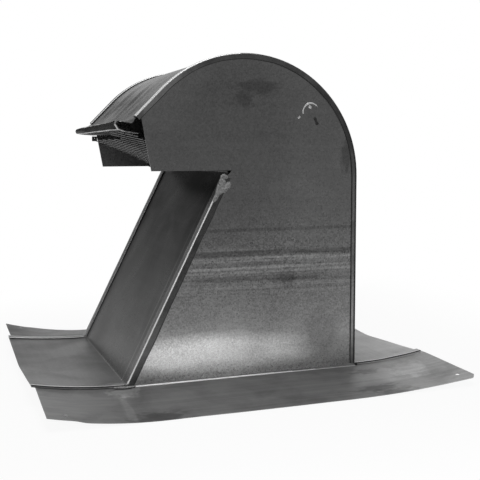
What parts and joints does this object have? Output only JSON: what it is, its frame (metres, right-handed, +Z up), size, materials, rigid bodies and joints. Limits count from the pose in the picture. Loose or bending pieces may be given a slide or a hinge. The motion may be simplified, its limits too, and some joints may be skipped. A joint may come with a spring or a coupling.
{
  "type": "gooseneck roof vent",
  "caption": "Galvanised sheet-metal gooseneck roof vent with a down-turned screened mouth, lock-seamed cheeks and a curled nailing flange.",
  "frame": {"origin": "centre of the flange, on the level that the flange's side edges rest on", "axes": "+X towards the back, -X towards the mouth, +Y towards the far cheek, +Z up"},
  "size_m": [0.4556, 0.4314, 0.3497],
  "materials": {
    "cheek_galvanised": "weathered galvanised sheet with fine spangle, faint roll bands and stains",
    "wrapper_galvanised": "weathered galvanised sheet, smudged, bright on its bends",
    "screen_steel": "dull galvanised expanded metal"
  },
  "bodies": {
    "root": {"near_cheek": "cheek_galvanised", "far_cheek": "cheek_galvanised", "heel_sheet": "wrapper_galvanised", "throat_sheet": "wrapper_galvanised", "screen": "screen_steel"}
  },
  "joints": []
}
